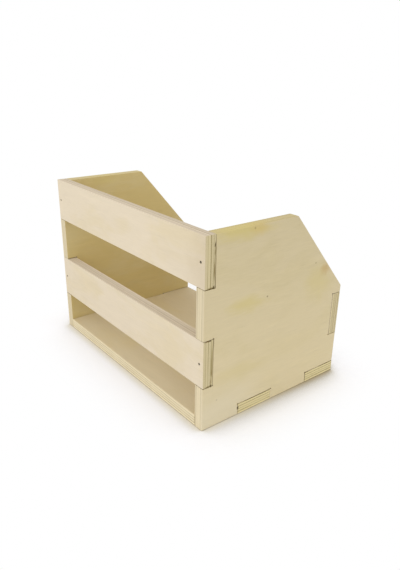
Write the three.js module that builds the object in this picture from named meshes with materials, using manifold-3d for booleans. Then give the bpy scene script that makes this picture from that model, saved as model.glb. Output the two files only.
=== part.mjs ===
// Slatted crate with sides that slope down to a low front, cut from one thickness of plywood.
//
// Two side panels stand on their bottom edges. The base lies between them and locks into them with tabs.
// Three rails drop into notches in the edges of the sides, two across the tall back and one across the low
// front, and each is held by a nail at either end.
//
// Millimetres, +Z up, +X to the right, the low front towards -Y. The origin is in the middle of the
// footprint, on the surface that the crate stands on.

import * as THREE from 'three';
import { mergeVertices } from 'three/addons/utils/BufferGeometryUtils.js';
import Module from 'manifold-3d';

// ---------------------------------------------------------------------------------------------------------
// Driving dimensions
// ---------------------------------------------------------------------------------------------------------

const BOARD = 15; // thickness of the plywood, the same for every board
const BAY_WIDTH = 340; // clear width between the sides: goods 315 square and room for fingers
const DEPTH = 245; // front edge to back edge of the sides

const RAIL_HEIGHT = 62.5; // all three rails are cut to one height
const BACK_GAP_LOW = 45; // open height between the base and the lower back rail
const BACK_GAP_HIGH = 65; // open height between the two back rails
const FRONT_GAP = 48; // open height between the base and the front rail

const SLOPE_RUN = 100; // how far the sloping edge of a side reaches back from the front
const FRONT_SHOULDER = 10.5; // what is left of a side above the front rail, where the slope ends

const TAB_LENGTH = 58; // each tab of the base
const TAB_PITCH = 128; // from one tab to the next, counted back from the front corner
const TAB_MARGIN = 20; // the least that stays of a side between its back edge and a tab

const JOINT_GAP = 0.4; // play of a board in its notch, on every face
const CUTTER_RELIEF = 1.1; // radius of the relief that lets a square end seat in an inside corner
const ARRIS = 0.4; // eased edge along both faces of every board

const NAIL_LENGTH = 30; // head to point
const NAIL_SHANK = 1.8; // diameter
const NAIL_HEAD = 3; // diameter
const NAIL_HEAD_DEPTH = 1; // straight part of the head
const NAIL_NECK = 0.9; // taper between the head and the shank
const NAIL_POINT = 3.2; // tapering tip
const NAIL_SET = 0.5; // how far the head is punched below the surface of the rail
const NAIL_GAP = 0.2; // play of a nail in its hole, all round

// ---------------------------------------------------------------------------------------------------------
// Dimensions worked out from these
// ---------------------------------------------------------------------------------------------------------

const WIDTH = BAY_WIDTH + 2 * BOARD; // the rails run the whole width, flush with the sides
const FRONT = -DEPTH / 2;
const BACK = DEPTH / 2;

const LOWER_RAIL_BOTTOM = BOARD + BACK_GAP_LOW;
const UPPER_RAIL_BOTTOM = LOWER_RAIL_BOTTOM + RAIL_HEIGHT + BACK_GAP_HIGH;
const BACK_HEIGHT = UPPER_RAIL_BOTTOM + RAIL_HEIGHT; // the upper rail is flush with the top
const FRONT_RAIL_BOTTOM = BOARD + FRONT_GAP;
const FRONT_HEIGHT = FRONT_RAIL_BOTTOM + RAIL_HEIGHT + FRONT_SHOULDER;

const NOTCH_DEPTH = BOARD + JOINT_GAP; // a board lies in its notch flush with the edge outside
const NAIL_FROM_END = BOARD / 2; // a nail enters the middle of the side panel's thickness

const RELIEF_FACETS = 9; // facets round one corner relief
const NAIL_FACETS = 20; // facets round a nail and its hole
const OPENING = 1; // how far a drill starts outside the wood

// ---------------------------------------------------------------------------------------------------------
// Solids: joining and cutting
// ---------------------------------------------------------------------------------------------------------

const wasm = await Module();
wasm.setup();

/** A closed geometry as a solid that can be cut. */
function toSolid(geometry) {
  const bare = geometry.clone();
  bare.deleteAttribute('normal');
  bare.deleteAttribute('uv');
  const merged = mergeVertices(bare);
  return new wasm.Manifold(
    new wasm.Mesh({
      numProp: 3,
      vertProperties: new Float32Array(merged.attributes.position.array),
      triVerts: new Uint32Array(merged.index.array),
    }),
  );
}

/** A solid as a geometry with flat-shaded faces. */
function toGeometry(solid) {
  const mesh = solid.getMesh();
  const indexed = new THREE.BufferGeometry();
  indexed.setAttribute('position', new THREE.BufferAttribute(mesh.vertProperties, 3));
  indexed.setIndex(new THREE.BufferAttribute(mesh.triVerts, 1));
  const geometry = indexed.toNonIndexed();
  geometry.computeVertexNormals();
  return geometry;
}

/** The geometry of a board with all the given tools cut out of it. */
function cutFrom(geometry, tools) {
  let solid = toSolid(geometry);
  for (const tool of tools) {
    solid = solid.subtract(toSolid(tool));
  }
  return toGeometry(solid);
}

// ---------------------------------------------------------------------------------------------------------
// Board outlines
// ---------------------------------------------------------------------------------------------------------

/** A corner of an outline. A relieved corner is an inside corner with the cutter's round relief in it. */
function corner(x, y, relieved = false) {
  return { point: new THREE.Vector2(x, y), relieved };
}

/**
 * The corners of a notch in a straight edge, in the order in which the outline passes them.
 * The outline runs anticlockwise, so the wood lies on the left of the edge.
 */
function notch([startX, startY], [endX, endY], depth) {
  const along = new THREE.Vector2(endX - startX, endY - startY).normalize();
  const inX = -along.y * depth;
  const inY = along.x * depth;
  return [
    corner(startX, startY),
    corner(startX + inX, startY + inY, true),
    corner(endX + inX, endY + inY, true),
    corner(endX, endY),
  ];
}

/** The round of the relief in an inside corner, walked through the wood from one neighbour to the other. */
function reliefPoints({ x, y }, before, after) {
  const enter = Math.atan2(before.y - y, before.x - x);
  const leave = Math.atan2(after.y - y, after.x - x);
  const round = new THREE.EllipseCurve(x, y, CUTTER_RELIEF, CUTTER_RELIEF, enter, leave, true);
  return round.getPoints(RELIEF_FACETS);
}

/** A closed outline through the corners. A relief is three quarters of a circle about its corner. */
function traceOutline(corners) {
  const points = corners.flatMap(({ point, relieved }, i) => {
    const before = corners.at(i - 1).point;
    const after = corners[(i + 1) % corners.length].point;
    return relieved ? reliefPoints(point, before, after) : [point];
  });
  return new THREE.Shape(points);
}

/** A board of the given outline, between local Z 0 and its thickness, with the edges of both faces eased. */
function board(outline) {
  const geometry = new THREE.ExtrudeGeometry(outline, {
    depth: BOARD - 2 * ARRIS,
    bevelEnabled: true,
    bevelSegments: 1,
    bevelThickness: ARRIS,
    bevelSize: ARRIS,
    bevelOffset: -ARRIS,
  });
  geometry.translate(0, 0, ARRIS);
  return geometry;
}

/** The front end of each tab, from the front corner backwards, for as long as there is room for one. */
function tabStarts() {
  const starts = [];
  for (let y = FRONT; y + TAB_LENGTH <= BACK - TAB_MARGIN; y += TAB_PITCH) {
    starts.push(y);
  }
  return starts;
}

/** The outline of a side panel, with depth along local X and height along local Y. */
function sideOutline() {
  const tabNotches = tabStarts().flatMap((start) => {
    const end = start + TAB_LENGTH + JOINT_GAP;
    if (start === FRONT) {
      return [corner(FRONT, NOTCH_DEPTH), corner(end, NOTCH_DEPTH, true), corner(end, 0)];
    }
    return notch([start - JOINT_GAP, 0], [end, 0], NOTCH_DEPTH);
  });
  const backNotch = notch(
    [BACK, LOWER_RAIL_BOTTOM - JOINT_GAP],
    [BACK, LOWER_RAIL_BOTTOM + RAIL_HEIGHT + JOINT_GAP],
    NOTCH_DEPTH,
  );
  const topRebate = [
    corner(BACK, UPPER_RAIL_BOTTOM - JOINT_GAP),
    corner(BACK - NOTCH_DEPTH, UPPER_RAIL_BOTTOM - JOINT_GAP, true),
    corner(BACK - NOTCH_DEPTH, BACK_HEIGHT),
  ];
  const frontNotch = notch(
    [FRONT, FRONT_RAIL_BOTTOM + RAIL_HEIGHT + JOINT_GAP],
    [FRONT, FRONT_RAIL_BOTTOM - JOINT_GAP],
    NOTCH_DEPTH,
  );
  return traceOutline([
    ...tabNotches,
    corner(BACK, 0),
    ...backNotch,
    ...topRebate,
    corner(FRONT + SLOPE_RUN, BACK_HEIGHT),
    corner(FRONT, FRONT_HEIGHT),
    ...frontNotch,
  ]);
}

/** The outline of the base, with width along X and depth along Y. The tabs end flush with the sides. */
function baseOutline() {
  const shoulder = BAY_WIDTH / 2 - JOINT_GAP;
  const tip = WIDTH / 2;
  const rightEdge = tabStarts().flatMap((start) => {
    const end = start + TAB_LENGTH;
    const root = start === FRONT ? [] : [corner(shoulder, start, true)];
    return [...root, corner(tip, start), corner(tip, end), corner(shoulder, end, true)];
  });
  const leftEdge = rightEdge.map(({ point, relieved }) => corner(-point.x, point.y, relieved)).reverse();
  return traceOutline([...rightEdge, corner(shoulder, BACK), corner(-shoulder, BACK), ...leftEdge]);
}

/** The outline of a rail, with its length along local X and its lower edge on local Y 0. */
function railOutline() {
  const end = WIDTH / 2;
  return traceOutline([
    corner(-end, 0),
    corner(end, 0),
    corner(end, RAIL_HEIGHT),
    corner(-end, RAIL_HEIGHT),
  ]);
}

// ---------------------------------------------------------------------------------------------------------
// Nails and their holes
// ---------------------------------------------------------------------------------------------------------

/**
 * A nail turned about local Y, its head on local Y 0 and its point below.
 * With some play and a start above the head, the same profile is the hole that the nail sits in.
 */
function nailGeometry(play = 0, above = 0) {
  const head = NAIL_HEAD / 2 + play;
  const shank = NAIL_SHANK / 2 + play;
  const neckTop = -NAIL_HEAD_DEPTH - play;
  const profile = [
    new THREE.Vector2(0, -NAIL_LENGTH - play),
    new THREE.Vector2(shank, -NAIL_LENGTH + NAIL_POINT - play),
    new THREE.Vector2(shank, neckTop - NAIL_NECK),
    new THREE.Vector2(head, neckTop),
    new THREE.Vector2(head, above),
    new THREE.Vector2(0, above),
  ];
  return new THREE.LatheGeometry(profile, NAIL_FACETS);
}

/** The hole of a nail that is driven in where the outside face of a rail lies on local Y 0. */
function nailHole(x, z) {
  const hole = nailGeometry(NAIL_GAP, NAIL_SET + OPENING);
  hole.translate(x, -NAIL_SET, z);
  return hole;
}

// ---------------------------------------------------------------------------------------------------------
// Boards
// ---------------------------------------------------------------------------------------------------------

/** A side panel, standing on its edge in the YZ plane, with its thickness along +X from local X 0. */
function sidePanelGeometry() {
  const panel = board(sideOutline());
  panel.rotateX(Math.PI / 2);
  panel.rotateZ(Math.PI / 2);
  const backHoles = [LOWER_RAIL_BOTTOM, UPPER_RAIL_BOTTOM].map((bottom) => {
    const hole = nailHole(BOARD / 2, bottom + RAIL_HEIGHT / 2);
    return hole.translate(0, BACK, 0);
  });
  const frontHole = nailHole(-BOARD / 2, FRONT_RAIL_BOTTOM + RAIL_HEIGHT / 2);
  frontHole.rotateZ(Math.PI).translate(0, FRONT, 0);
  return cutFrom(panel, [...backHoles, frontHole]);
}

/** A rail with its outside face on local Y 0, its inside face towards -Y and its lower edge on local Z 0. */
function railGeometry() {
  const rail = board(railOutline());
  rail.rotateX(Math.PI / 2);
  const holes = [-1, 1].map((side) => nailHole(side * (WIDTH / 2 - NAIL_FROM_END), RAIL_HEIGHT / 2));
  return cutFrom(rail, holes);
}

// ---------------------------------------------------------------------------------------------------------
// Materials
// ---------------------------------------------------------------------------------------------------------

const SIDE_COLOUR = 0xd2c49c; // clear birch face veneer, a little yellower on the sides
const RAIL_COLOUR = 0xe0d2b6;
const BASE_COLOUR = 0xd8c9a2;
const PLYWOOD_ROUGHNESS = 0.72; // sanded and left without varnish

const NAIL_COLOUR = 0x5a544a; // steel wire that has gone dull
const NAIL_ROUGHNESS = 0.5;
const NAIL_METALNESS = 0.9;

function plywood(colour) {
  return new THREE.MeshStandardMaterial({
    color: colour,
    roughness: PLYWOOD_ROUGHNESS,
    metalness: 0,
  });
}

function nailSteel() {
  return new THREE.MeshStandardMaterial({
    color: NAIL_COLOUR,
    roughness: NAIL_ROUGHNESS,
    metalness: NAIL_METALNESS,
  });
}

function named(name, geometry, material) {
  const mesh = new THREE.Mesh(geometry, material);
  mesh.name = name;
  return mesh;
}

// ---------------------------------------------------------------------------------------------------------
// Assembly
// ---------------------------------------------------------------------------------------------------------

/**
 * A rail with a nail at either end, its outside face on local Y 0.
 * nailNames gives the names of the nails at local -X and +X.
 */
function nailedRail(railName, nailNames) {
  const group = new THREE.Group();
  group.add(named(railName, railGeometry(), plywood(RAIL_COLOUR)));
  nailNames.forEach((name, i) => {
    const nail = named(name, nailGeometry(), nailSteel());
    const side = i === 0 ? -1 : 1;
    nail.position.set(side * (WIDTH / 2 - NAIL_FROM_END), -NAIL_SET, RAIL_HEIGHT / 2);
    group.add(nail);
  });
  return group;
}

function slattedCrate() {
  const crate = new THREE.Group();

  const left = named('side_panel_left', sidePanelGeometry(), plywood(SIDE_COLOUR));
  left.position.x = -WIDTH / 2;
  const right = named('side_panel_right', sidePanelGeometry(), plywood(SIDE_COLOUR));
  right.position.x = BAY_WIDTH / 2;
  crate.add(left, right);

  crate.add(named('base_panel', board(baseOutline()), plywood(BASE_COLOUR)));

  const lowerBack = nailedRail('back_rail_lower', ['nail_back_lower_left', 'nail_back_lower_right']);
  lowerBack.position.set(0, BACK, LOWER_RAIL_BOTTOM);
  const upperBack = nailedRail('back_rail_upper', ['nail_back_upper_left', 'nail_back_upper_right']);
  upperBack.position.set(0, BACK, UPPER_RAIL_BOTTOM);
  const front = nailedRail('front_rail', ['nail_front_right', 'nail_front_left']);
  front.rotation.z = Math.PI;
  front.position.set(0, FRONT, FRONT_RAIL_BOTTOM);
  crate.add(lowerBack, upperBack, front);

  return crate;
}

export default slattedCrate();
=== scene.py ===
# %% [markdown]
# # A slatted plywood crate, dressed in Blender
#
# The crate is six boards cut from one thickness of plywood. Two side panels slope down to a low front, the
# base locks into them with tabs, and three slats lie in notches and are nailed. Its shape and size come
# from a CAD model, the frame. This notebook gives every piece the finish of real plywood: pale face veneer,
# layered edges, dark joint lines and dull nail heads. The frame is loaded first, because every piece is
# placed by it.

import math

import bmesh
import bpy
from mathutils import Matrix, Quaternion, Vector


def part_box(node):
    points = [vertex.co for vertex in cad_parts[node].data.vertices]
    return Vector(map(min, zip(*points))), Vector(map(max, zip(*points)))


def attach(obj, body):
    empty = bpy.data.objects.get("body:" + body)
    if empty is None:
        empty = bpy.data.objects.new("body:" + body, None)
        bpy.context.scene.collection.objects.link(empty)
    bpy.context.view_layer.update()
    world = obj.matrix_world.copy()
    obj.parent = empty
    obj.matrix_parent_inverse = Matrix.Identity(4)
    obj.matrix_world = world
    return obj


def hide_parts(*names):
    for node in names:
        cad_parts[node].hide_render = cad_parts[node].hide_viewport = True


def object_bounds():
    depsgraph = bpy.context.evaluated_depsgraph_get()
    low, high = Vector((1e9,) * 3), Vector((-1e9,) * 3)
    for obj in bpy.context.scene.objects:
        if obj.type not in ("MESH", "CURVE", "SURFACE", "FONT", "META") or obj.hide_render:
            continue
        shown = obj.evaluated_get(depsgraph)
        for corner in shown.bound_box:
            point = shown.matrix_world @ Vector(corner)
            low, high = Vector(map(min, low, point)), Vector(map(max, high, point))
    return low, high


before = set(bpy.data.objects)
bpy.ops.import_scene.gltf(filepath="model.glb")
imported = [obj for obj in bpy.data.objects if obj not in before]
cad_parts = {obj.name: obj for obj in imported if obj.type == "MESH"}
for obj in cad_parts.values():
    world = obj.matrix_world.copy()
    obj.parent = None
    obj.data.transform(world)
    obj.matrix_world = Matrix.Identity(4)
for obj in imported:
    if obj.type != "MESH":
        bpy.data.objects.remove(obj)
frame_low, frame_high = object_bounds()
millimetre = 0.001
print("frame, mm:", [round(side / millimetre, 1) for side in frame_high - frame_low])

# %% [markdown]
# ## Where the boards are
#
# The thickness of the plywood and the size of a slat are read from there, so that no number is written
# twice. The slat and the nail are measured on the pieces that they will stand for.

# %% Read the sizes of the boards from the frame
side_low, side_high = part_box("side_panel_left")
board_thickness = side_high.x - side_low.x
slat_low, slat_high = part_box("back_rail_upper")
slat_length = slat_high.x - slat_low.x
slat_height = slat_high.z - slat_low.z
nail_low, nail_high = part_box("nail_back_upper_left")
nail_length = nail_high.y - nail_low.y
nail_head_radius = (nail_high.z - nail_low.z) / 2
nail_from_end = nail_high.x - nail_head_radius - slat_low.x
print("board", round(board_thickness / millimetre, 2), "slat", round(slat_length / millimetre, 1),
      "x", round(slat_height / millimetre, 1), "nail", round(nail_length / millimetre, 1))

# %% [markdown]
# ## Small helpers for node trees
#
# Materials and Geometry Nodes are both trees of nodes. `put` adds a node, fills its inputs and gives one of
# its outputs, and an input may be a plain value or the output of another node, so that a tree reads from
# top to bottom like a sum on paper. A node may hide sockets of the same name for other kinds of data, so
# only sockets in use are looked up. `calc`, `vector` and `parts` are short ways to write the commonest
# nodes, and `new_tree` starts a tree that others can use as a single node.


# %% Helpers: put a node in a tree, calculate, join and split vectors, start a tree
def socket_of(sockets, key):
    """A socket by its number, or by its name among those in use."""
    if isinstance(key, int):
        return sockets[key]
    return next(socket for socket in sockets if socket.enabled and socket.name == key)


def fill(tree, socket, value):
    """Sets an input to a plain value, or links the output of another node to it."""
    if isinstance(value, bpy.types.NodeSocket):
        tree.links.new(value, socket)
    else:
        socket.default_value = value


def put(tree, kind, inputs=None, gives=0, **settings):
    """Adds a node with its settings, fills its inputs and gives one of its outputs."""
    node = tree.nodes.new(kind)
    for name, value in settings.items():
        setattr(node, name, value)
    for key, value in (inputs or {}).items():
        fill(tree, socket_of(node.inputs, key), value)
    return socket_of(node.outputs, gives) if node.outputs else node


def calc(tree, operation, *values):
    """The result of one Math node."""
    return put(tree, "ShaderNodeMath", dict(enumerate(values)), operation=operation)


def vector(tree, x=0.0, y=0.0, z=0.0):
    """Three numbers or outputs as one vector."""
    return put(tree, "ShaderNodeCombineXYZ", {"X": x, "Y": y, "Z": z})


def parts(tree, source):
    """The three numbers of a vector, as X, Y and Z."""
    return put(tree, "ShaderNodeSeparateXYZ", {0: source}).node.outputs


def new_tree(name, kind, inputs, outputs):
    """A node group with named inputs and their starting values. Gives the tree and both its ends."""
    tree = bpy.data.node_groups.new(name, kind)
    for title, (socket_type, value) in inputs.items():
        socket = tree.interface.new_socket(title, in_out="INPUT", socket_type=socket_type)
        if value is not None:
            socket.default_value = value
    for title, socket_type in outputs.items():
        tree.interface.new_socket(title, in_out="OUTPUT", socket_type=socket_type)
    start = tree.nodes.new("NodeGroupInput").outputs
    end = tree.nodes.new("NodeGroupOutput").inputs
    return tree, start, end


print("helpers ready: fill, put, calc, vector, parts, new_tree")

# %% [markdown]
# ## Meshes and objects
#
# A mesh is only a shape. It shows once an object in the scene carries it, and lamps and cameras are carried
# by objects in the same way. Both steps come back for every piece, so each has a helper.


# %% Helpers: a mesh out of a bmesh, and an object in the scene
def as_mesh(shape, name):
    """A bmesh as a mesh. The bmesh is used up."""
    mesh = bpy.data.meshes.new(name)
    shape.to_mesh(mesh)
    shape.free()
    return mesh


def in_scene(name, data):
    """A new object in the scene that carries a mesh, a lamp or a camera."""
    carrier = bpy.data.objects.new(name, data)
    bpy.context.scene.collection.objects.link(carrier)
    return carrier


print("helpers ready: as_mesh, in_scene")

# %% [markdown]
# ## The wood's own coordinates
#
# Plywood is a stack of veneers, so what shows at a point depends on where the point lies in the board: how
# far along the grain, how far across it and how deep in the thickness. A texture could be painted on each
# face, but then the layers on the edges would have to be matched by hand. Instead every board carries those
# three lengths as an attribute called `wood_place`, and one solid pattern gives faces and edges at once, as
# sawing real plywood does. A second attribute, `end_grain`, says how squarely a face cuts across the grain
# of the outer veneer, because cut fibres look darker and rougher. `plank` is a number that shifts the
# figure, so that no two boards look alike, and `joint` marks the faces inside a joint, which are darkened
# partly as glue and partly as painted shade deep in the narrow gap.


# %% Write the wood's coordinates on a mesh
def lay_wood(mesh, centre, along, across, through, plank, in_joint):
    """Stores wood_place and plank on the points of a board, and end_grain and joint on its faces."""
    axes = [Vector(axis) for axis in (along, across, through)]
    place = mesh.attributes.new("wood_place", "FLOAT_VECTOR", "POINT")
    for point, item in zip(mesh.vertices, place.data):
        item.vector = [(point.co - centre).dot(axis) for axis in axes]
    cut = mesh.attributes.new("end_grain", "FLOAT", "FACE")
    for face, item in zip(mesh.polygons, cut.data):
        item.value = abs(face.normal.dot(axes[0]))
    shift = mesh.attributes.new("plank", "FLOAT", "POINT")
    for item in shift.data:
        item.value = plank
    joint = mesh.attributes.new("joint", "FLOAT", "FACE")
    for face, item in zip(mesh.polygons, joint.data):
        item.value = float(in_joint(face))


along_x, along_y, along_z, against_x = (1, 0, 0), (0, 1, 0), (0, 0, 1), (-1, 0, 0)
print("boards will carry wood_place, end_grain, plank and joint")

# %% [markdown]
# ## The side panels and the base
#
# These three have outlines full of notches, with a small round relief in each inside corner where the
# router bit turned. The frame already has them exactly, so a copy is the right start. An imported mesh is
# loose triangles: its doubles are merged and its flat faces joined before the edges are bevelled, because a
# bevel needs whole edges. The bevel turns the plain eased edge into a soft sanded one.


# %% Copy a board out of the frame and soften its edges
sanded_edge = 0.14 * millimetre
same_point = 0.01 * millimetre


def middle(node):
    """The middle of a piece of the frame."""
    low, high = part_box(node)
    return (low + high) / 2


def board_copy(node, name, **wood):
    """A merged, bevelled copy of a board of the frame, with the wood's coordinates on it."""
    shape = bmesh.new()
    shape.from_mesh(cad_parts[node].data)
    bmesh.ops.remove_doubles(shape, verts=shape.verts, dist=same_point)
    bmesh.ops.dissolve_limit(shape, angle_limit=math.radians(1), verts=shape.verts, edges=shape.edges)
    mesh = as_mesh(shape, name)
    for leftover in ("custom_normal", "sharp_face", "sharp_edge"):
        if leftover in mesh.attributes:
            mesh.attributes.remove(mesh.attributes[leftover])
    mesh.materials.clear()
    rough = in_scene(name + "_rough", mesh)
    bevel = rough.modifiers.new("sanded edge", "BEVEL")
    bevel.width = sanded_edge
    bevel.segments = 2
    bevel.limit_method = "ANGLE"
    bevel.angle_limit = math.radians(30)
    return finished(rough, name, centre=middle(node), **wood)


def finished(rough, name, **wood):
    """Turns an object with modifiers into a plain mesh piece at the origin."""
    evaluated = rough.evaluated_get(bpy.context.evaluated_depsgraph_get())
    mesh = bpy.data.meshes.new_from_object(evaluated)
    mesh.name = name
    mesh.polygons.foreach_set("use_smooth", [False] * len(mesh.polygons))
    if wood:
        lay_wood(mesh, **wood)
    bpy.data.objects.remove(rough)
    piece = in_scene(name, mesh)
    print(name, len(mesh.polygons), "faces")
    return piece


# %% [markdown]
# ## Which faces lie in a joint
#
# The walls of a joint are darkened, partly as glue and dirt and partly as painted shade deep in the narrow
# gap, and only they show in the gap between two boards. They could be picked by hand. But the frame knows
# where the other board lies, so a face is in a joint if it lies within the box of its mate and isn't part of
# the board's own outside. One end of a tab fits so tightly that it stays clean.

# %% Tell which faces of a panel or of the base lie in a joint
slat_nodes = ["back_rail_upper", "back_rail_lower", "front_rail"]
joint_reach = 1.0 * millimetre
# a face looks squarely along an axis if its normal has more than this of that axis
squarely = 0.9
mating_boxes = [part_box(node) for node in slat_nodes + ["base_panel"]]
tab_points = [
    point.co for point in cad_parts["base_panel"].data.vertices if point.co.x < side_low.x + joint_reach]
tight_end = min(point.y for point in tab_points if point.y > 0)


def is_tight(face):
    """The front end of the rear tab of the left panel, where the parts touch, so no glue and no painted gap
    shade show.
    """
    at_the_end = abs(face.center.y - tight_end) < 2 * joint_reach
    return face.center.x < 0 and at_the_end and face.center.z < board_thickness


def in_panel_joint(face):
    """A wall or an eased edge of a notch: near a slat or the base, and not on the panel's own faces."""
    if abs(face.normal.x) > squarely or is_tight(face):
        return False
    for low, high in mating_boxes:
        near = all(low[i] - joint_reach < face.center[i] < high[i] + joint_reach for i in (1, 2))
        outside = abs(face.normal.y) > squarely and abs(abs(face.center.y) - frame_high.y) < joint_reach / 2
        if near and not outside and face.center.z > joint_reach:
            return True
    return False


def in_base_joint(face):
    """A side or an eased upper edge of a tab, which lies in the thickness of a panel."""
    in_thickness = abs(face.center.x) > frame_high.x - board_thickness
    beside_the_tab = abs(face.normal.x) < squarely and face.center.z > joint_reach
    return in_thickness and beside_the_tab and not is_tight(face)


# %% Make the two side panels and the base
panel_grain = {"along": along_y, "across": along_z, "in_joint": in_panel_joint}
left_panel = board_copy("side_panel_left", "left_panel", plank=1.0, through=along_x, **panel_grain)
right_panel = board_copy("side_panel_right", "right_panel", plank=4.0, through=against_x, **panel_grain)
base_board = board_copy(
    "base_panel", "base_board", plank=7.0, through=along_z, along=along_x, across=along_y,
    in_joint=in_base_joint)

# %% [markdown]
# ## The slats
#
# The three slats are one board, made three times, which is a job for Geometry Nodes. The object that
# carries the tree has only three points, one in the middle of each slat, and each point says which way its
# slat is turned. The tree drills the nail holes in a plain slat, writes the wood's coordinates on it and
# sets a copy on each point. The coordinates are written before the copying, so that every slat has its own
# layers, and the seed then gives each copy its own stretch of veneer.

# %% The plain slat, with its edges eased
slat_edge = 0.4 * millimetre
blank_shape = bmesh.new()
bmesh.ops.create_cube(
    blank_shape, size=1, matrix=Matrix.Diagonal((slat_length, board_thickness, slat_height, 1)))
slat_blank = in_scene("slat_blank", as_mesh(blank_shape, "slat_blank"))
easing = slat_blank.modifiers.new("eased edge", "BEVEL")
easing.width = slat_edge
easing.segments = 3
print("plain slat", [round(side / millimetre, 1) for side in slat_blank.dimensions])

# %% The tree that drills a slat and sets it on three points
hole_play = 0.2 * millimetre
head_depth = 1.0 * millimetre
head_sink = slat_high.y - nail_high.y
shank_radius = 0.9 * millimetre
round_facets = 24

slats_tree, given, result = new_tree(
    "slats", "GeometryNodeTree",
    {
        "Places": ("NodeSocketGeometry", None),
        "Slat": ("NodeSocketObject", None),
        "Half thickness": ("NodeSocketFloat", board_thickness / 2),
        "Nail spacing": ("NodeSocketFloat", slat_length - 2 * nail_from_end),
        "Head hole radius": ("NodeSocketFloat", nail_head_radius + hole_play),
        "Head hole depth": ("NodeSocketFloat", head_sink + head_depth + hole_play),
        "Shank hole radius": ("NodeSocketFloat", shank_radius + hole_play),
        "Seed": ("NodeSocketInt", 9),
        "Material": ("NodeSocketMaterial", None),
    },
    {"Slats": "NodeSocketGeometry"},
)
slat = put(slats_tree, "GeometryNodeObjectInfo", {"Object": given["Slat"]}, gives="Geometry")
# a cylinder is made round its own middle, so half of each drill stands out of the slat
head_drill = put(slats_tree, "GeometryNodeMeshCylinder", {
    "Vertices": round_facets,
    "Radius": given["Head hole radius"],
    "Depth": calc(slats_tree, "MULTIPLY", given["Head hole depth"], 2.0),
})
shank_drill = put(slats_tree, "GeometryNodeMeshCylinder", {
    "Vertices": round_facets,
    "Radius": given["Shank hole radius"],
    "Depth": calc(slats_tree, "MULTIPLY", given["Half thickness"], 6.0),
})
drill = put(slats_tree, "GeometryNodeMeshBoolean", {"Mesh": head_drill}, operation="UNION")
slats_tree.links.new(shank_drill, socket_of(drill.node.inputs, "Mesh"))
lying_drill = put(slats_tree, "GeometryNodeTransform", {
    "Geometry": drill,
    "Rotation": (math.pi / 2, 0, 0),
    "Translation": vector(slats_tree, y=given["Half thickness"]),
})
half_spacing = calc(slats_tree, "MULTIPLY", given["Nail spacing"], 0.5)
ends = put(slats_tree, "GeometryNodeMeshLine", {
    "Count": 2,
    "Start Location": vector(slats_tree, x=calc(slats_tree, "MULTIPLY", half_spacing, -1.0)),
    "Offset": vector(slats_tree, x=given["Nail spacing"]),
})
drills = put(slats_tree, "GeometryNodeInstanceOnPoints", {"Points": ends, "Instance": lying_drill})
drilled = put(slats_tree, "GeometryNodeMeshBoolean", {
    "Mesh 1": slat, "Mesh 2": put(slats_tree, "GeometryNodeRealizeInstances", {0: drills}),
}, operation="DIFFERENCE")
print("slats tree so far:", len(slats_tree.nodes), "nodes, up to the drilled slat")

# %% The tree goes on: the wood's coordinates, and which faces lie in a joint
# a face leans towards an axis if its normal has more than this of that axis
leaning = 0.3
spot = parts(slats_tree, put(slats_tree, "GeometryNodeInputPosition"))
facing = parts(slats_tree, put(slats_tree, "GeometryNodeInputNormal"))
placed = put(slats_tree, "GeometryNodeStoreNamedAttribute", {
    "Geometry": drilled, "Name": "wood_place", "Value": vector(slats_tree, spot["X"], spot["Z"], spot["Y"]),
}, data_type="FLOAT_VECTOR", domain="POINT")
grained = put(slats_tree, "GeometryNodeStoreNamedAttribute", {
    "Geometry": placed, "Name": "end_grain", "Value": calc(slats_tree, "ABSOLUTE", facing["X"]),
}, data_type="FLOAT", domain="FACE")
beyond = calc(slats_tree, "GREATER_THAN", calc(slats_tree, "ABSOLUTE", spot["X"]), calc(
    slats_tree, "MULTIPLY_ADD", given["Half thickness"], 0.5, half_spacing))
not_the_end = calc(slats_tree, "LESS_THAN", calc(slats_tree, "ABSOLUTE", facing["X"]), squarely)
not_outside = calc(slats_tree, "LESS_THAN", facing["Y"], leaning)
not_above = calc(slats_tree, "LESS_THAN", facing["Z"], leaning)
stained = put(slats_tree, "GeometryNodeStoreNamedAttribute", {
    "Geometry": grained, "Name": "joint", "Value": calc(
        slats_tree, "MULTIPLY", calc(slats_tree, "MULTIPLY", beyond, not_the_end),
        calc(slats_tree, "MULTIPLY", not_outside, not_above)),
}, data_type="FLOAT", domain="FACE")
print("slats tree so far:", len(slats_tree.nodes), "nodes, up to the finished slat")


# %% The tree's end: a copy on each point, a number for each copy, and its material
def on_each_point(tree, places, piece):
    """A copy of a piece on each point, turned as the point says."""
    turn = put(tree, "GeometryNodeInputNamedAttribute", {"Name": "turn"}, data_type="FLOAT_VECTOR")
    return put(tree, "GeometryNodeInstanceOnPoints", {"Points": places, "Instance": piece, "Rotation": turn})


def made_real(tree, copies, material):
    """Copies as real meshes with their material, which ends a tree."""
    real = put(tree, "GeometryNodeRealizeInstances", {0: copies})
    return put(tree, "GeometryNodeSetMaterial", {"Geometry": real, "Material": material})


own_number = put(slats_tree, "FunctionNodeRandomValue", {
    "Min": 10.0, "Max": 30.0, "Seed": given["Seed"]}, gives="Value", data_type="FLOAT")
numbered = put(slats_tree, "GeometryNodeStoreNamedAttribute", {
    "Geometry": on_each_point(slats_tree, given["Places"], stained), "Name": "plank", "Value": own_number,
}, data_type="FLOAT", domain="INSTANCE")
slats_tree.links.new(made_real(slats_tree, numbered, given["Material"]), result["Slats"])
print("slats tree:", len(slats_tree.nodes), "nodes")

# %% [markdown]
# ## Points that carry a tree
#
# A tree that sets copies on points needs an object whose mesh is those points. `on_points` makes one, with
# the turn of each copy as an attribute. It fills in the named inputs, which a modifier knows only by the
# identifier of each socket, takes the finished mesh and throws the object with the modifier away, because
# the export and the frame want plain meshes.


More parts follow.
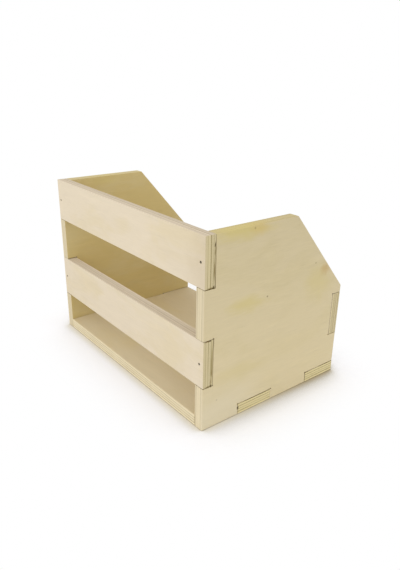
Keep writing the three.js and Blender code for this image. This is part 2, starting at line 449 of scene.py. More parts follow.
# %% Helper: run a tree on a few points and keep the plain mesh
def on_points(name, tree, places, turns, inputs):
    """The plain mesh piece that a tree makes on these points, with one turn for each."""
    mesh = bpy.data.meshes.new(name + "_points")
    mesh.from_pydata(places, [], [])
    turned = mesh.attributes.new("turn", "FLOAT_VECTOR", "POINT")
    for item, turn in zip(turned.data, turns):
        item.vector = turn
    rough = in_scene(name + "_rough", mesh)
    nodes = rough.modifiers.new(name, "NODES")
    nodes.node_group = tree
    for item in tree.interface.items_tree:
        if item.in_out == "INPUT" and item.name in inputs:
            nodes[item.identifier] = inputs[item.name]
    return finished(rough, name)


half_turn = (0, 0, math.pi)
print("helper ready: on_points")

# %% Make the three slats
slat_plywood = bpy.data.materials.new("slat_plywood")
slats = on_points(
    "slats", slats_tree,
    places=[middle(node) for node in slat_nodes],
    turns=[(0, 0, 0), (0, 0, 0), half_turn],
    inputs={"Slat": slat_blank, "Material": slat_plywood},
)
bpy.data.objects.remove(slat_blank)

# %% [markdown]
# ## The nails
#
# A nail is turned: a wide head, a short neck, a straight shank and a point. In Geometry Nodes a turned
# shape is a circle swept along a line, with a scale for each point of the line. Six points give the depths
# and six scales the radii, and one tree makes all six nails of the crate, each driven in where the frame
# has it.


# %% Helper: one number for each point of a line
def by_index(tree, values):
    """A field that gives the first value to the first point, the second to the second, and so on."""
    switch = put(tree, "GeometryNodeIndexSwitch", {0: put(tree, "GeometryNodeInputIndex")}, data_type="FLOAT")
    while len(switch.node.index_switch_items) < len(values):
        switch.node.index_switch_items.new()
    for number, value in enumerate(values):
        fill(tree, switch.node.inputs[1 + number], value)
    return switch


print("helper ready: by_index")

# %% The tree that turns a nail and drives it in at each point
neck_length = 0.9 * millimetre
point_length = 3.2 * millimetre
head_rounding = 0.2 * millimetre
tip_radius = 0.05 * millimetre

nail_tree, given, result = new_tree(
    "nails", "GeometryNodeTree",
    {
        "Places": ("NodeSocketGeometry", None),
        "Length": ("NodeSocketFloat", nail_length),
        "Head radius": ("NodeSocketFloat", nail_head_radius),
        "Head depth": ("NodeSocketFloat", head_depth),
        "Neck": ("NodeSocketFloat", neck_length),
        "Shank radius": ("NodeSocketFloat", shank_radius),
        "Point": ("NodeSocketFloat", point_length),
        "Rounding": ("NodeSocketFloat", head_rounding),
        "Material": ("NodeSocketMaterial", None),
    },
    {"Nails": "NodeSocketGeometry"},
)
neck_end = calc(nail_tree, "ADD", given["Head depth"], given["Neck"])
point_start = calc(nail_tree, "SUBTRACT", given["Length"], given["Point"])
crown = calc(nail_tree, "SUBTRACT", given["Head radius"], given["Rounding"])
depths = by_index(nail_tree, [
    0.0, given["Rounding"], given["Head depth"], neck_end, point_start, given["Length"]])
radii = by_index(nail_tree, [
    crown, given["Head radius"], given["Head radius"], given["Shank radius"], given["Shank radius"],
    tip_radius])
line = put(nail_tree, "GeometryNodeMeshLine", {"Count": 6})
spine = put(nail_tree, "GeometryNodeSetPosition", {
    "Geometry": line, "Position": vector(nail_tree, y=calc(nail_tree, "MULTIPLY", depths, -1.0))})
circle = put(nail_tree, "GeometryNodeCurvePrimitiveCircle", {"Resolution": round_facets, "Radius": 1.0})
nail = put(nail_tree, "GeometryNodeCurveToMesh", {
    "Curve": put(nail_tree, "GeometryNodeMeshToCurve", {"Mesh": spine}),
    "Profile Curve": circle,
    "Scale": radii,
    "Fill Caps": True,
})
driven = on_each_point(nail_tree, given["Places"], nail)
nail_tree.links.new(made_real(nail_tree, driven, given["Material"]), result["Nails"])
print("nail tree:", len(nail_tree.nodes), "nodes")

# %% Make the six nails
nail_nodes = [
    f"nail_{slat_name}_{side}"
    for slat_name in ("back_upper", "back_lower", "front") for side in ("left", "right")]
nail_places, nail_turns = [], []
for node in nail_nodes:
    low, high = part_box(node)
    in_front = "front" in node
    nail_places.append(((low.x + high.x) / 2, low.y if in_front else high.y, (low.z + high.z) / 2))
    nail_turns.append(half_turn if in_front else (0, 0, 0))
nail_steel = bpy.data.materials.new("nail_steel")
nails = on_points("nails", nail_tree, nail_places, nail_turns, {"Material": nail_steel})

# %% [markdown]
# ## Colours as they look
#
# A colour is easiest to judge as it looks in a picture, from 0 to 255, but a shader works in linear light.
# `paint` turns one into the other. The scene's light is plain, so a surface renders about as its colour is
# written.


# %% Helper: a colour as a picture shows it
def paint(red, green, blue):
    """A picture's colour, 0 to 255, as the linear colour that a shader takes."""
    shown = [level / 255 for level in (red, green, blue)]
    linear = [level / 12.92 if level <= 0.04045 else ((level + 0.055) / 1.055) ** 2.4 for level in shown]
    return (*linear, 1.0)


def blend(tree, factor, first, second):
    """Two colours mixed by a factor."""
    return put(tree, "ShaderNodeMix", {"Factor": factor, "A": first, "B": second},
               gives="Result", data_type="RGBA")


def ramp(tree, value, start, end, low=0.0, high=1.0):
    """Goes smoothly from low to high while the value goes from start to end."""
    return put(tree, "ShaderNodeMapRange", {
        "Value": value, "From Min": start, "From Max": end, "To Min": low, "To Max": high,
    }, interpolation_type="SMOOTHSTEP")


def noise(tree, place, scale, detail=2.0, roughness=0.5, distortion=0.0):
    """Smooth noise about one half, with so many features to the metre."""
    return put(tree, "ShaderNodeTexNoise", {
        "Vector": place, "Scale": scale, "Detail": detail, "Roughness": roughness, "Distortion": distortion})


print("pale veneer in linear light:", [round(level, 3) for level in paint(228, 214, 190)[:3]])

# %% [markdown]
# ## Layers
#
# The board is glued up from thick veneers with thin ones between them, whose fibres run crosswise. On a cut
# edge the thin ones show as three dark lines with a glue line along each side. The distance through the
# board is divided by the pitch of the lines and rounded, which gives the number of the nearest line. The
# number is kept within the three, or a fourth line would show on the face. Noise makes the lines waver, and
# a random number for each makes some strong and some faint, as in a real edge.

# %% The group that tells the layers apart
cross_ply = 0.9 * millimetre
ply_pitch = 3.75 * millimetre
glue_line = 0.2 * millimetre
soft_edge = 0.1 * millimetre
line_shift = 0.3

layers_tree, given, result = new_tree(
    "ply_layers", "ShaderNodeTree",
    {
        "Place": ("NodeSocketVector", None),
        "Figure place": ("NodeSocketVector", None),
        "Plank": ("NodeSocketFloat", 0.0),
        "Half thickness": ("NodeSocketFloat", board_thickness / 2),
        "Cross ply": ("NodeSocketFloat", cross_ply),
        "Ply pitch": ("NodeSocketFloat", ply_pitch),
        "Glue line": ("NodeSocketFloat", glue_line),
        "Waver": ("NodeSocketFloat", 0.7 * millimetre),
        "Set-off": ("NodeSocketFloat", 1.6 * millimetre),
    },
    dict.fromkeys(("Cross", "Line", "Glue", "Tone", "Edge"), "NodeSocketFloat"),
)


def chance(tree, number):
    """A random number from 0 to 1, the same for the same number."""
    return put(tree, "ShaderNodeTexWhiteNoise", {"W": number}, gives="Value", noise_dimensions="1D")


through = parts(layers_tree, given["Place"])["Z"]
unevenness = calc(layers_tree, "SUBTRACT", noise(layers_tree, given["Figure place"], 18.0, detail=3.0), 0.5)
wavering = calc(layers_tree, "MULTIPLY_ADD", unevenness, given["Waver"], through)
set_off = calc(layers_tree, "SUBTRACT", chance(layers_tree, given["Plank"]), 0.5)
in_plies = calc(layers_tree, "DIVIDE", calc(
    layers_tree, "MULTIPLY_ADD", set_off, given["Set-off"], wavering), given["Ply pitch"])
line_number = calc(layers_tree, "MINIMUM", calc(
    layers_tree, "MAXIMUM", calc(layers_tree, "ROUND", in_plies), -1.0), 1.0)
own_place = calc(layers_tree, "MULTIPLY_ADD", chance(layers_tree, calc(
    layers_tree, "MULTIPLY_ADD", given["Plank"], 5.0, line_number)), line_shift, calc(
    layers_tree, "SUBTRACT", line_number, line_shift / 2))
from_line = calc(layers_tree, "MULTIPLY", calc(layers_tree, "ABSOLUTE", calc(
    layers_tree, "SUBTRACT", in_plies, own_place)), given["Ply pitch"])
past_glue = calc(layers_tree, "MULTIPLY_ADD", given["Cross ply"], -0.5, from_line)
in_cross = ramp(layers_tree, past_glue, soft_edge, -soft_edge)
layers_tree.links.new(in_cross, result["Cross"])
print("layers group so far:", len(layers_tree.nodes), "nodes, up to the crosswise veneers")

# %% The layers group goes on: strong and faint lines, tones, and where the edges of the board are
faintest_line = 0.2
line_contrast = 0.85
face_veneer = 0.5 * millimetre
line_chance = chance(layers_tree, calc(layers_tree, "ADD", line_number, given["Plank"]))
line_place = put(layers_tree, "ShaderNodeVectorMath", {
    0: given["Figure place"], 1: vector(layers_tree, z=line_number)}, operation="ADD")
fading = noise(layers_tree, line_place, 16.0, detail=3.0)
strength = calc(layers_tree, "MULTIPLY", calc(
    layers_tree, "MULTIPLY_ADD", line_chance, line_contrast, faintest_line), ramp(
    layers_tree, fading, 0.3, 0.6, 0.4, 1.0))
layers_tree.links.new(calc(layers_tree, "MULTIPLY", in_cross, strength), result["Line"])
in_glue = ramp(layers_tree, calc(layers_tree, "ABSOLUTE", past_glue), given["Glue line"], 0.0)
layers_tree.links.new(calc(layers_tree, "MULTIPLY", in_glue, strength), result["Glue"])
ply_chance = chance(layers_tree, calc(layers_tree, "MULTIPLY_ADD", given["Plank"], 3.0, calc(
    layers_tree, "FLOOR", in_plies)))
layers_tree.links.new(calc(layers_tree, "SUBTRACT", ply_chance, 0.5), result["Tone"])
depth = calc(layers_tree, "SUBTRACT", given["Half thickness"], calc(layers_tree, "ABSOLUTE", through))
layers_tree.links.new(ramp(layers_tree, depth, face_veneer / 10, face_veneer), result["Edge"])
print("layers group:", len(layers_tree.nodes), "nodes")

# %% [markdown]
# ## Fibres and figure
#
# Wood fibres are long and thin, so their pattern is noise that is stretched along the grain: the length
# along the grain is made small before the noise is read. In the cross layers the fibres run the other way,
# so there the other length is made small. Fine fibres give the sheen its grain, broad streaks give the
# faint lines that the eye sees from a step away, and a slow cloud of warmer and cooler wood covers the
# whole board.

# %% The group that gives fibres, streaks, flecks and clouds
fibres_tree, given, result = new_tree(
    "wood_fibres", "ShaderNodeTree",
    {
        "Place": ("NodeSocketVector", None),
        "Cross": ("NodeSocketFloat", 0.0),
        "Stretch": ("NodeSocketFloat", 0.06),
        "Streak stretch": ("NodeSocketFloat", 0.13),
        "Fibres to the metre": ("NodeSocketFloat", 1100.0),
        "Flecks to the metre": ("NodeSocketFloat", 700.0),
        "Streaks to the metre": ("NodeSocketFloat", 130.0),
        "Clouds to the metre": ("NodeSocketFloat", 22.0),
    },
    dict.fromkeys(("Fibre", "Streak", "Fleck", "Cloud"), "NodeSocketFloat"),
)
own = parts(fibres_tree, given["Place"])


def drawn_along(stretch):
    """The place, drawn out along the fibres of the layer that it lies in."""
    lengthwise = vector(fibres_tree, calc(fibres_tree, "MULTIPLY", own["X"], stretch), own["Y"], own["Z"])
    crosswise = vector(fibres_tree, own["X"], calc(fibres_tree, "MULTIPLY", own["Y"], stretch), own["Z"])
    return put(fibres_tree, "ShaderNodeMix", {"Factor": given["Cross"], "A": lengthwise, "B": crosswise},
               gives="Result", data_type="VECTOR")


fine = drawn_along(given["Stretch"])
fibre = noise(fibres_tree, fine, given["Fibres to the metre"], detail=3.0, roughness=0.6)
fibres_tree.links.new(fibre, result["Fibre"])
fleck = ramp(fibres_tree, noise(fibres_tree, fine, given["Flecks to the metre"], detail=1.0), 0.66, 0.76)
fibres_tree.links.new(fleck, result["Fleck"])
broad = noise(
    fibres_tree, drawn_along(given["Streak stretch"]), given["Streaks to the metre"], detail=4.0,
    roughness=0.6, distortion=0.9)
here_and_there = ramp(
    fibres_tree, noise(fibres_tree, given["Place"], given["Clouds to the metre"]), 0.38, 0.62, 0.35, 1.5)
streak = calc(
    fibres_tree, "MULTIPLY_ADD", calc(fibres_tree, "SUBTRACT", broad, 0.5), here_and_there, 0.5)
fibres_tree.links.new(streak, result["Streak"])
drawn_out = vector(fibres_tree, calc(fibres_tree, "MULTIPLY", own["X"], 0.5), own["Y"], own["Z"])
cloud = noise(
    fibres_tree, drawn_out, given["Clouds to the metre"], detail=4.0, roughness=0.6, distortion=0.5)
fibres_tree.links.new(cloud, result["Cloud"])
print("fibres group:", len(fibres_tree.nodes), "nodes")

# %% [markdown]
# ## The whole of the plywood in one group
#
# The group reads the four attributes of a board, takes the colours of one batch of plywood, and gives a
# colour, a roughness and a height for the bump. The layers and their fibres come first. Then the two faces
# get their veneers, which may differ, and the cut edges get their lines. How deep a point lies in the board
# says which of them shows. The light and dark of the fibres and the darkening in the joints, glue with
# painted shade of the narrow gap, come last, over everything.

# %% The plywood group: places, layers and fibres
plywood_tree, given, result = new_tree(
    "plywood", "ShaderNodeTree",
    {
        "Face": ("NodeSocketColor", paint(222, 208, 184)),
        "Back face": ("NodeSocketColor", paint(222, 208, 184)),
        "Warm patch": ("NodeSocketColor", paint(208, 188, 132)),
        "Cut along": ("NodeSocketColor", paint(218, 203, 184)),
        "Cut across": ("NodeSocketColor", paint(206, 192, 152)),
        "Line": ("NodeSocketColor", paint(160, 142, 98)),
        "Glue": ("NodeSocketColor", paint(104, 86, 50)),
        # the joints' colour: glue, darkened further as painted shade of the narrow gap
        "Joint glue and shade": ("NodeSocketColor", paint(96, 74, 20)),
        "Patchiness": ("NodeSocketFloat", 0.3),
        "Streakiness": ("NodeSocketFloat", 0.1),
        "Layer contrast": ("NodeSocketFloat", 0.1),
        "Line strength": ("NodeSocketFloat", 1.0),
        "Painted_floor_light": ("NodeSocketFloat", 0.0),
        "Clean above": ("NodeSocketFloat", 1.0),
    },
    {"Colour": "NodeSocketColor", "Roughness": "NodeSocketFloat", "Height": "NodeSocketFloat"},
)
place = put(plywood_tree, "ShaderNodeAttribute", gives="Vector", attribute_name="wood_place")
plank, end_grain, joint = (
    put(plywood_tree, "ShaderNodeAttribute", gives="Fac", attribute_name=name)
    for name in ("plank", "end_grain", "joint"))
figure_place = put(plywood_tree, "ShaderNodeVectorMath", {
    0: place, 1: vector(plywood_tree, x=plank, y=plank, z=plank)}, operation="ADD")
layers = put(plywood_tree, "ShaderNodeGroup", {
    "Place": place, "Figure place": figure_place, "Plank": plank}, node_tree=layers_tree).node.outputs
fibres = put(plywood_tree, "ShaderNodeGroup", {
    "Place": figure_place, "Cross": layers["Cross"]}, node_tree=fibres_tree).node.outputs
print("plywood group so far:", len(plywood_tree.nodes), "nodes")

# %% The plywood group: colour of the faces and of the cut edges
patch = calc(plywood_tree, "MULTIPLY", ramp(plywood_tree, fibres["Cloud"], 0.44, 0.7), given["Patchiness"])
this_side = blend(plywood_tree, calc(
    plywood_tree, "GREATER_THAN", parts(plywood_tree, place)["Z"], 0.0), given["Face"], given["Back face"])
face_colour = blend(plywood_tree, patch, this_side, given["Warm patch"])
cut_colour = blend(plywood_tree, end_grain, given["Cut along"], given["Cut across"])
ply_tone = calc(plywood_tree, "MULTIPLY_ADD", layers["Tone"], given["Layer contrast"], 1.0)
cut_toned = put(plywood_tree, "ShaderNodeVectorMath", {0: cut_colour, "Scale": ply_tone}, operation="SCALE")
seen_lines = calc(plywood_tree, "MULTIPLY", given["Line strength"], ramp(
    plywood_tree, end_grain, 0.0, 1.0, 0.65, 1.0))
lined = blend(plywood_tree, calc(
    plywood_tree, "MULTIPLY", layers["Line"], seen_lines), cut_toned, given["Line"])
glued = blend(plywood_tree, calc(
    plywood_tree, "MULTIPLY", layers["Glue"], seen_lines), lined, given["Glue"])
wood_colour = blend(plywood_tree, layers["Edge"], face_colour, glued)
print("plywood group so far:", len(plywood_tree.nodes), "nodes")

# %% The plywood group: fibres over the colour, and glue with painted gap shade in the joints
fibre_contrast = 0.1
fleck_darkening = -0.05
joint_patches_to_the_metre = 38.0
clean_margin = 6 * millimetre
tone = calc(plywood_tree, "MULTIPLY_ADD", calc(
    plywood_tree, "SUBTRACT", fibres["Streak"], 0.5), given["Streakiness"], 1.0)
tone = calc(plywood_tree, "MULTIPLY_ADD", calc(
    plywood_tree, "SUBTRACT", fibres["Fibre"], 0.5), fibre_contrast, tone)
tone = calc(plywood_tree, "MULTIPLY_ADD", fibres["Fleck"], fleck_darkening, tone)
# painted light: the tone changes across the grain, so a side panel is painted lighter towards the white floor
# that lights its foot
tone = calc(plywood_tree, "MULTIPLY_ADD", parts(plywood_tree, place)["Y"], given["Painted_floor_light"], tone)
toned = put(plywood_tree, "ShaderNodeVectorMath", {0: wood_colour, "Scale": tone}, operation="SCALE")
uneven = ramp(
    plywood_tree, noise(plywood_tree, figure_place, joint_patches_to_the_metre, detail=3.0), 0.36, 0.6, 0.25, 1.0)
below_top = ramp(plywood_tree, parts(plywood_tree, place)["Y"], given["Clean above"], calc(
    plywood_tree, "ADD", given["Clean above"], -clean_margin))
# joints are darkened for glue and, as painted shade, for the deep narrow gap
stain_and_painted_light = calc(plywood_tree, "MULTIPLY", joint, calc(plywood_tree, "MULTIPLY", uneven, below_top))
plywood_tree.links.new(blend(plywood_tree, stain_and_painted_light, toned, given["Joint glue and shade"]), result["Colour"])
print("plywood group so far:", len(plywood_tree.nodes), "nodes")

# %% The plywood group: roughness and height
sanded, streak_rougher, cut_rougher = 0.56, 0.12, 0.2
fibre_relief, streak_relief, fleck_relief, line_relief = 0.25, 0.35, -0.2, -0.4
roughness = calc(plywood_tree, "MULTIPLY_ADD", fibres["Streak"], streak_rougher, sanded)
roughness = calc(plywood_tree, "MULTIPLY_ADD", layers["Edge"], cut_rougher, roughness)
plywood_tree.links.new(calc(plywood_tree, "MAXIMUM", roughness, joint), result["Roughness"])
height = calc(plywood_tree, "MULTIPLY_ADD", fibres["Fibre"], fibre_relief, calc(
    plywood_tree, "MULTIPLY", fibres["Streak"], streak_relief))
height = calc(plywood_tree, "MULTIPLY_ADD", fibres["Fleck"], fleck_relief, height)
dark_lines = calc(plywood_tree, "ADD", layers["Line"], layers["Glue"])
sunk = calc(plywood_tree, "MULTIPLY", dark_lines, layers["Edge"])
plywood_tree.links.new(calc(plywood_tree, "MULTIPLY_ADD", sunk, line_relief, height), result["Height"])
print("plywood group:", len(plywood_tree.nodes), "nodes")

# %% [markdown]
# ## Plywood on the boards
#
# Each side panel and the base gets a material of its own that uses the group, because each was cut from
# another part of a sheet, and the three slats share one. The side panels are a little yellower than the
# slats, and their inner faces, the back of the sheet, are painted darker and yellower still, as shade and
# warm light bounced inside the crate. `plywood_finish` builds one, with its marks over the colour and the
# bump from the group's height. Marks are placed by the wood's coordinates, or by the place on the crate.


# %% The material of a board
grain_depth = 0.12 * millimetre
raggedness = 1.1


def empty_tree(owner):
    """The tree of a material or a world, with nothing in it."""
    owner.use_nodes = True
    owner.node_tree.nodes.clear()
    return owner.node_tree


def plywood_finish(material, colours, marks, marked_by_wood=True):
    """Fills a material with the plywood group, a few marks and a bump."""
    tree = empty_tree(material)
    wood = put(tree, "ShaderNodeGroup", colours, node_tree=plywood_tree).node.outputs
    colour = wood["Colour"]
    if marked_by_wood:
        place = put(tree, "ShaderNodeAttribute", gives="Vector", attribute_name="wood_place")
    else:
        place = put(tree, "ShaderNodeTexCoord", gives="Object")
    for mark in marks:
        colour = with_mark(tree, colour, place, *mark)
    bump = put(tree, "ShaderNodeBump", {
        "Strength": 1.0, "Distance": grain_depth, "Height": wood["Height"]})
    shader = put(tree, "ShaderNodeBsdfPrincipled", {
        "Base Color": colour,
        "Roughness": wood["Roughness"],
        "Normal": bump,
        "Specular IOR Level": 0.15,
    })
    put(tree, "ShaderNodeOutputMaterial", {"Surface": shader})
    return material


def with_mark(tree, colour, place, middle_mm, reach_mm, stain_and_painted_light, strength):
    """A soft uneven mark over a colour, for stains and for painted light and shade alike. Its middle and
    reach are lengths in the coordinates of the place.
    """
    from_mark = put(tree, "ShaderNodeVectorMath", {
        0: place, 1: [length * millimetre for length in middle_mm]}, operation="SUBTRACT")
    in_reaches = put(tree, "ShaderNodeVectorMath", {
        0: from_mark, 1: [length * millimetre for length in reach_mm]}, operation="DIVIDE")
    far = put(tree, "ShaderNodeVectorMath", {0: in_reaches}, gives="Value", operation="LENGTH")
    ragged = noise(tree, in_reaches, 1.6, detail=4.0, roughness=0.6)
    edge = calc(tree, "MULTIPLY_ADD", ragged, raggedness, calc(tree, "SUBTRACT", far, raggedness / 2))
    return blend(tree, ramp(tree, edge, 1.0, 0.1, 0.0, strength), colour, stain_and_painted_light)


# %% [markdown]
# ## Marks on the side panels
#
# The left side panel has a few places of its own: yellowish patches in the veneer, the strongest along its
# top edge, a brown spot below the slope and a few pin marks. Its foot is painted paler, as painted light from
# the white floor. Each mark is an uneven oval in the wood's coordinates, given by its middle and its reach
# along the grain, across it and through the board, so it stays on the outer face. The right panel has fewer,
# in other places, because no two boards are marked alike.

# %% Marks of the side panels, in millimetres
outer = -board_thickness / 2 / millimetre
yellowed = paint(204, 188, 122)
browned = paint(188, 156, 98)
pin_mark = paint(112, 94, 62)
left_marks = [
    ((68, 122, outer), (64, 16, 30), yellowed, 0.8),
    ((42, 121, outer), (22, 12, 20), paint(204, 176, 108), 0.4),
    ((57, 29, outer), (46, 16, 4), yellowed, 0.55),
    ((-72, 27, outer), (38, 38, 4), yellowed, 0.4),
    ((-84, 44, outer), (14, 12, 4), browned, 0.55),
    ((70, -60, outer), (66, 17, 4), yellowed, 0.25),
    ((49.8, 122.0, outer), (2.0, 2.2, 2), pin_mark, 0.45),
    ((22.8, 30.4, outer), (2.0, 1.8, 2), pin_mark, 0.7),
    ((-63.7, 56.0, outer), (1.8, 1.5, 2), pin_mark, 0.6),
    ((100.1, -88.8, outer), (1.9, 1.6, 2), pin_mark, 0.5),
    # painted light: the foot is painted paler, as the white floor lights it
    ((100, -118, outer), (150, 66, 4), paint(219, 209, 184), 0.5),
]
right_marks = [
    ((48, 120, outer), (56, 15, 30), yellowed, 0.6),
    ((-34, -36, outer), (58, 17, 4), yellowed, 0.45),
    ((84, 22, outer), (34, 14, 4), yellowed, 0.35),
    ((-58, 44, outer), (15, 9, 4), browned, 0.4),
    ((31.5, -71.0, outer), (1.8, 1.6, 2), pin_mark, 0.6),
    ((-12.6, 66.0, outer), (1.6, 1.8, 2), pin_mark, 0.5),
]
print(len(left_marks), "marks on the left side panel,", len(right_marks), "on the right one")

# %% [markdown]
# ## Glue and painted gap shade at the joints
#
# Where a slat or a tab passes through the side panel, glue and filler close the gap unevenly, so the joint
# line is thick and dark in some places and hardly there in others. The dark of these lines is partly glue
# and partly painted shade deep in the narrow gap. Glue that was squeezed out has soaked into the end of each
# slat beside its gap, and the shade of the gap is painted there as well. On the panel the places are given
# like the other marks. The three slats share the wood's coordinates, so what is on one of them only is given
# by its place on the crate instead.

# %% Glue stains and painted gap shade at the joints of the left side panel, in millimetres
# glue colours, darkened further as painted shade of the narrow gap; filler is pale
dark_glue_and_gap_shade = paint(72, 56, 24)
old_glue_and_gap_shade = paint(126, 108, 60)
brown_glue_and_gap_shade = paint(118, 92, 48)
soaked_glue_and_gap_shade = paint(156, 141, 96)
filler = paint(206, 190, 148)
left_marks += [
    ((107.2, 94, outer), (0.5, 60, 12), filler, 0.85),
    ((107.2, -34, outer), (0.5, 60, 12), filler, 0.85),
    ((109.8, 62.4, outer), (2.0, 1.5, 8), dark_glue_and_gap_shade, 0.95),
    ((110.0, -65.7, outer), (2.2, 1.4, 8), dark_glue_and_gap_shade, 0.9),
    ((114.5, -65.7, outer), (6.0, 1.2, 8), old_glue_and_gap_shade, 0.7),
    ((64.4, -115.8, outer), (1.5, 3.4, 8), dark_glue_and_gap_shade, 0.9),
    ((-64.0, -111.0, outer), (1.7, 1.7, 8), dark_glue_and_gap_shade, 0.6),
    ((64.3, -109.8, outer), (2.0, 3.0, 8), filler, 0.95),
    ((58, -109.2, outer), (6.0, 1.8, 8), filler, 0.9),
]
print(len(left_marks), "marks in all on the left side panel")

# %% Marks on the slats and a tab, glue with painted gap shade, by their place on the crate in millimetres
left_end = frame_low.x / millimetre
clean_filler = paint(210, 195, 150)
slat_marks = [
    # the first two marks make the upper slat a little darker towards its end at the left side panel
    ((-190, 124, 219), (60, 6, 70), paint(196, 180, 152), 0.5),
    ((-190, 124, 219), (170, 6, 70), paint(196, 180, 152), 0.12),
    ((-178, 107.4, 155), (9, 0.5, 150), filler, 0.85),
    ((left_end, 108.3, 238), (3, 1.5, 4.4), dark_glue_and_gap_shade, 1.0),
    ((left_end, 108.2, 230), (3, 1.4, 8), old_glue_and_gap_shade, 0.8),
    ((left_end, 108.9, 208), (3, 1.5, 18), old_glue_and_gap_shade, 0.95),
    ((left_end, 109.6, 188.7), (3, 2.3, 2.2), dark_glue_and_gap_shade, 1.0),
    ((left_end, 114.0, 188.0), (3, 7, 1.6), old_glue_and_gap_shade, 0.85),
    ((left_end, 109.3, 92), (3, 2.7, 38), soaked_glue_and_gap_shade, 0.95),
    ((left_end, 109.3, 78), (3, 1.6, 8), old_glue_and_gap_shade, 0.7),
    ((left_end, 110.4, 66), (3, 1.7, 6), brown_glue_and_gap_shade, 0.6),
    ((left_end, 115.8, 122.2), (3, 6.5, 1.7), brown_glue_and_gap_shade, 0.95),
    ((left_end, 112.4, 122.2), (3, 2.2, 1.8), dark_glue_and_gap_shade, 0.9),
    ((left_end, 110.3, 60.9), (3, 2.4, 2.0), dark_glue_and_gap_shade, 0.95),
    ((left_end, 114.5, 60.6), (3, 6, 1.5), old_glue_and_gap_shade, 0.8),
]
base_marks = [
    ((left_end, 63.2, 9.2), (8, 1.5, 3.4), dark_glue_and_gap_shade, 0.9),
    ((left_end, 20, 14.8), (3, 11, 1.2), old_glue_and_gap_shade, 0.6),
    ((left_end, 63.3, 14), (8, 1.6, 2.6), clean_filler, 0.95),
    ((left_end, 58, 15), (8, 6, 1.4), clean_filler, 0.9),
]
print(len(slat_marks), "marks on the slats and", len(base_marks), "on the base")

# %% Plywood on every board
side_colours = {
    # Back face: the inner faces, painted darker and yellower as shade and warm bounced light inside the crate
    "Face": paint(212, 197, 160), "Back face": paint(203, 183, 126), "Warm patch": paint(206, 191, 148),
    # painted floor light: the panel is painted lighter towards its foot and darker towards its top
    "Patchiness": 0.45, "Painted_floor_light": -0.6,
    "Cut along": paint(202, 186, 140), "Cut across": paint(216, 202, 170), "Line strength": 0.4,
    "Clean above": 0.125,
}
far_side_colours = dict(side_colours, Painted_floor_light=0.0)
slat_colours = {
    "Warm patch": paint(216, 200, 162), "Patchiness": 0.5,
    "Cut along": paint(208, 193, 170), "Layer contrast": 0.2,
}
base_colours = {
    "Face": paint(210, 194, 160), "Back face": paint(210, 194, 160), "Cut along": paint(230, 216, 182),
    "Cut across": paint(222, 208, 160), "Line strength": 0.9,
}
plywood_finish(slat_plywood, slat_colours, slat_marks, marked_by_wood=False)
for piece, colours, marks in (
    (left_panel, side_colours, left_marks),
    (right_panel, far_side_colours, right_marks),
    (base_board, base_colours, base_marks),
):
    own_plywood = bpy.data.materials.new(piece.name + "_plywood")
    piece.data.materials.append(plywood_finish(
        own_plywood, colours, marks, marked_by_wood=piece is not base_board))
    print("plywood on", piece.name)

# %% [markdown]
# ## Nail heads
#
# The heads are wire that went through the nailing machine: dull, dark and a little dented. Metal shows
# little of its own colour, so a dark tint, a rough surface and small dents are enough. The tint is partly
# the dull steel and partly painted shade of the hole that each head sits in.

# %% The material of the nails
dent_depth = 0.1 * millimetre
tree = empty_tree(nail_steel)
where = put(tree, "ShaderNodeTexCoord", gives="Object")
tarnish = noise(tree, where, 900.0, detail=3.0)
dents = noise(tree, where, 1600.0, detail=2.0)
shader = put(tree, "ShaderNodeBsdfPrincipled", {
    # the dark tint is dull steel, darkened further as painted shade of the hole round the head
    "Base Color": blend(tree, ramp(tree, tarnish, 0.35, 0.65), paint(44, 40, 38), paint(80, 74, 70)),
    "Metallic": 0.6,
    "Roughness": ramp(tree, tarnish, 0.3, 0.7, 0.4, 0.65),
    "Normal": put(tree, "ShaderNodeBump", {"Strength": 1.0, "Distance": dent_depth, "Height": dents}),
})
put(tree, "ShaderNodeOutputMaterial", {"Surface": shader})
print("nail steel:", len(tree.nodes), "nodes")

# %% [markdown]
# ## Every piece rides on the frame
#
# Nothing on this crate moves, so the only body is the root.

# %% Tie the pieces to the frame
for piece, nodes, slot in (
    (left_panel, ["side_panel_left"], "side_plywood"),
    (right_panel, ["side_panel_right"], "side_plywood"),
    (base_board, ["base_panel"], "base_plywood"),
    (slats, slat_nodes, "rail_plywood"),
    (nails, nail_nodes, "nail_steel"),
):
    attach(piece, "root")
    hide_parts(*nodes)
    print(piece.name, "stands for", nodes)

# %% [markdown]
# ## Floor and sky
#
# The crate stands on a white table in front of white. A floor that were simply lit to white would need more
# light than the wood can take. Instead the floor tells rays from the camera apart from rays that carry
# light: the camera sees a little glow added to it, which lifts it to white and keeps the shadow, and the
# light sees a plain white board. The sky does the same. A shadow is darkest and warmest right under the
# wood, so ambient occlusion, which tells how much of the sky is hidden near a point, is read at three
# reaches, and each tints the floor closer to the crate. The back gets more light than the front, so its
# tints are paler.


# %% Helper: is a ray looking, or carrying light?
def looking(tree):
    """One for a ray of the camera, or one that it sees in a mirror or through glass."""
    path = put(tree, "ShaderNodeLightPath").node.outputs
    mirrored = calc(tree, "MAXIMUM", path["Is Glossy Ray"], path["Is Transmission Ray"])
    return calc(tree, "MAXIMUM", path["Is Camera Ray"], mirrored)


print("helper ready: looking")

# %% The floor
floor_size = 8.0
shadow_width = 0.09
floor_shape = bmesh.new()
bmesh.ops.create_grid(floor_shape, x_segments=1, y_segments=1, size=floor_size / 2)
floor = in_scene("floor", as_mesh(floor_shape, "floor"))
print("floor", floor_size, "m wide")

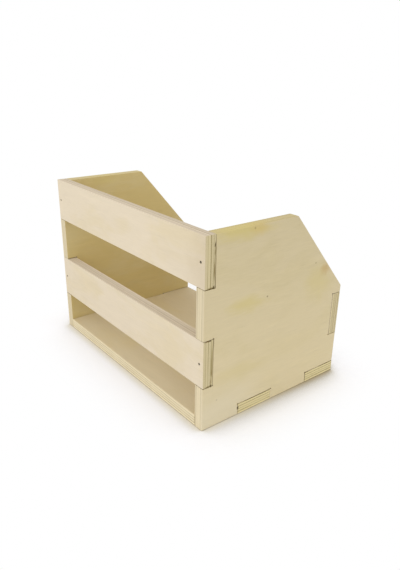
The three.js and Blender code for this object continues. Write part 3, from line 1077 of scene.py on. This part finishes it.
# %% The floor's white, with the shadow close to the wood
floor_glow = 0.05
table_white = bpy.data.materials.new("table_white")
tree = empty_tree(table_white)
floor_place = put(tree, "ShaderNodeTexCoord", gives="Object")
lit_side = ramp(tree, parts(tree, floor_place)["Y"], -0.1, 0.13)
near_wood = (0.95, 0.95, 0.98, 1)
for reach_mm, hidden, open_sky, at_the_front, at_the_back in (
    (50, 0.3, 0.95, (0.40, 0.37, 0.30, 1), (0.54, 0.53, 0.52, 1)),
    (16, 0.4, 1.0, (0.36, 0.28, 0.13, 1), (0.74, 0.69, 0.57, 1)),
    (2.5, 0.45, 0.95, (0.26, 0.20, 0.11, 1), (0.42, 0.37, 0.28, 1)),
):
    openness = put(
        tree, "ShaderNodeAmbientOcclusion", {"Distance": reach_mm * millimetre}, gives="AO", samples=8)
    shade = blend(tree, lit_side, at_the_front, at_the_back)
    near_wood = blend(tree, ramp(tree, openness, hidden, open_sky), shade, near_wood)
shadowed = put(tree, "ShaderNodeAddShader", {
    0: put(tree, "ShaderNodeBsdfDiffuse", {"Color": near_wood}),
    1: put(tree, "ShaderNodeEmission", {"Color": (1, 1, 1, 1), "Strength": floor_glow}),
})
white = put(tree, "ShaderNodeEmission", {"Color": (1, 1, 1, 1), "Strength": 1.0})
from_middle = put(tree, "ShaderNodeVectorMath", {0: floor_place}, operation="ABSOLUTE")
past_sides = put(tree, "ShaderNodeVectorMath", {
    0: from_middle, 1: (frame_high.x, frame_high.y, 0)}, operation="SUBTRACT")
outside = put(tree, "ShaderNodeVectorMath", {0: past_sides, 1: (0, 0, 0)}, operation="MAXIMUM")
away = put(tree, "ShaderNodeVectorMath", {0: outside}, gives="Value", operation="LENGTH")
seen = put(tree, "ShaderNodeMixShader", {0: ramp(tree, away, 0.0, shadow_width), 1: shadowed, 2: white})
plain = put(tree, "ShaderNodeBsdfDiffuse", {"Color": (0.85, 0.85, 0.85, 1)})
put(tree, "ShaderNodeOutputMaterial", {
    "Surface": put(tree, "ShaderNodeMixShader", {0: looking(tree), 1: plain, 2: seen})})
floor.data.materials.append(table_white)
print("table white:", len(tree.nodes), "nodes")

# %% The sky
sky = bpy.data.worlds.new("sky")
bpy.context.scene.world = sky
tree = empty_tree(sky)
put(tree, "ShaderNodeOutputWorld", {"Surface": put(tree, "ShaderNodeMixShader", {
    0: looking(tree),
    1: put(tree, "ShaderNodeBackground", {"Color": (1, 1, 1, 1), "Strength": 1.02}),
    2: put(tree, "ShaderNodeBackground", {"Color": (1, 1, 1, 1), "Strength": 1.0}),
})})
print("sky ready")

# %% [markdown]
# ## Soft light
#
# The sky gives most of the light, from all round, which makes the soft shadow that gathers close to the
# foot of the crate. The slats are a little brighter than the panel, so one large soft lamp stands on their
# side.

# %% The lamp
light = bpy.data.lights.new("window", "AREA")
light.shape = "SQUARE"
light.size = 1.6
light.energy = 6
lamp_place = Vector((-0.3, 1.9, 1.1))
lamp_aim = Vector((0, 0, 0.12))
lamp = in_scene("window", light)
lamp.location = lamp_place
lamp.rotation_mode = "QUATERNION"
lamp.rotation_quaternion = (lamp_aim - lamp_place).to_track_quat("-Z", "Y")
print("lamp", round(light.size, 1), "m wide,", light.energy, "W")

# %% [markdown]
# ## The camera
#
# The camera stands where the photograph was taken: behind the crate and to its left, a little above it. Its
# place, its aim and its lens were worked out from the corners of the boards. It leans by not quite one
# degree.

# %% The camera
camera_data = bpy.data.cameras.new("camera")
camera_data.sensor_width = 36.0
camera_data.lens = 33.806
camera = in_scene("camera", camera_data)
camera_place = Vector((-0.6073, 0.46372, 0.41567))
camera_aim = Vector((-0.17192, 0.11853, 0.18919))
camera_lean = math.radians(0.922)
camera.location = camera_place
camera.rotation_mode = "QUATERNION"
level = (camera_aim - camera_place).to_track_quat("-Z", "Y")
camera.rotation_quaternion = level @ Quaternion((0, 0, 1), camera_lean)
bpy.context.scene.camera = camera
bpy.context.scene.view_settings.view_transform = "Standard"
print("camera at", [round(side / millimetre) for side in camera_place], "mm")
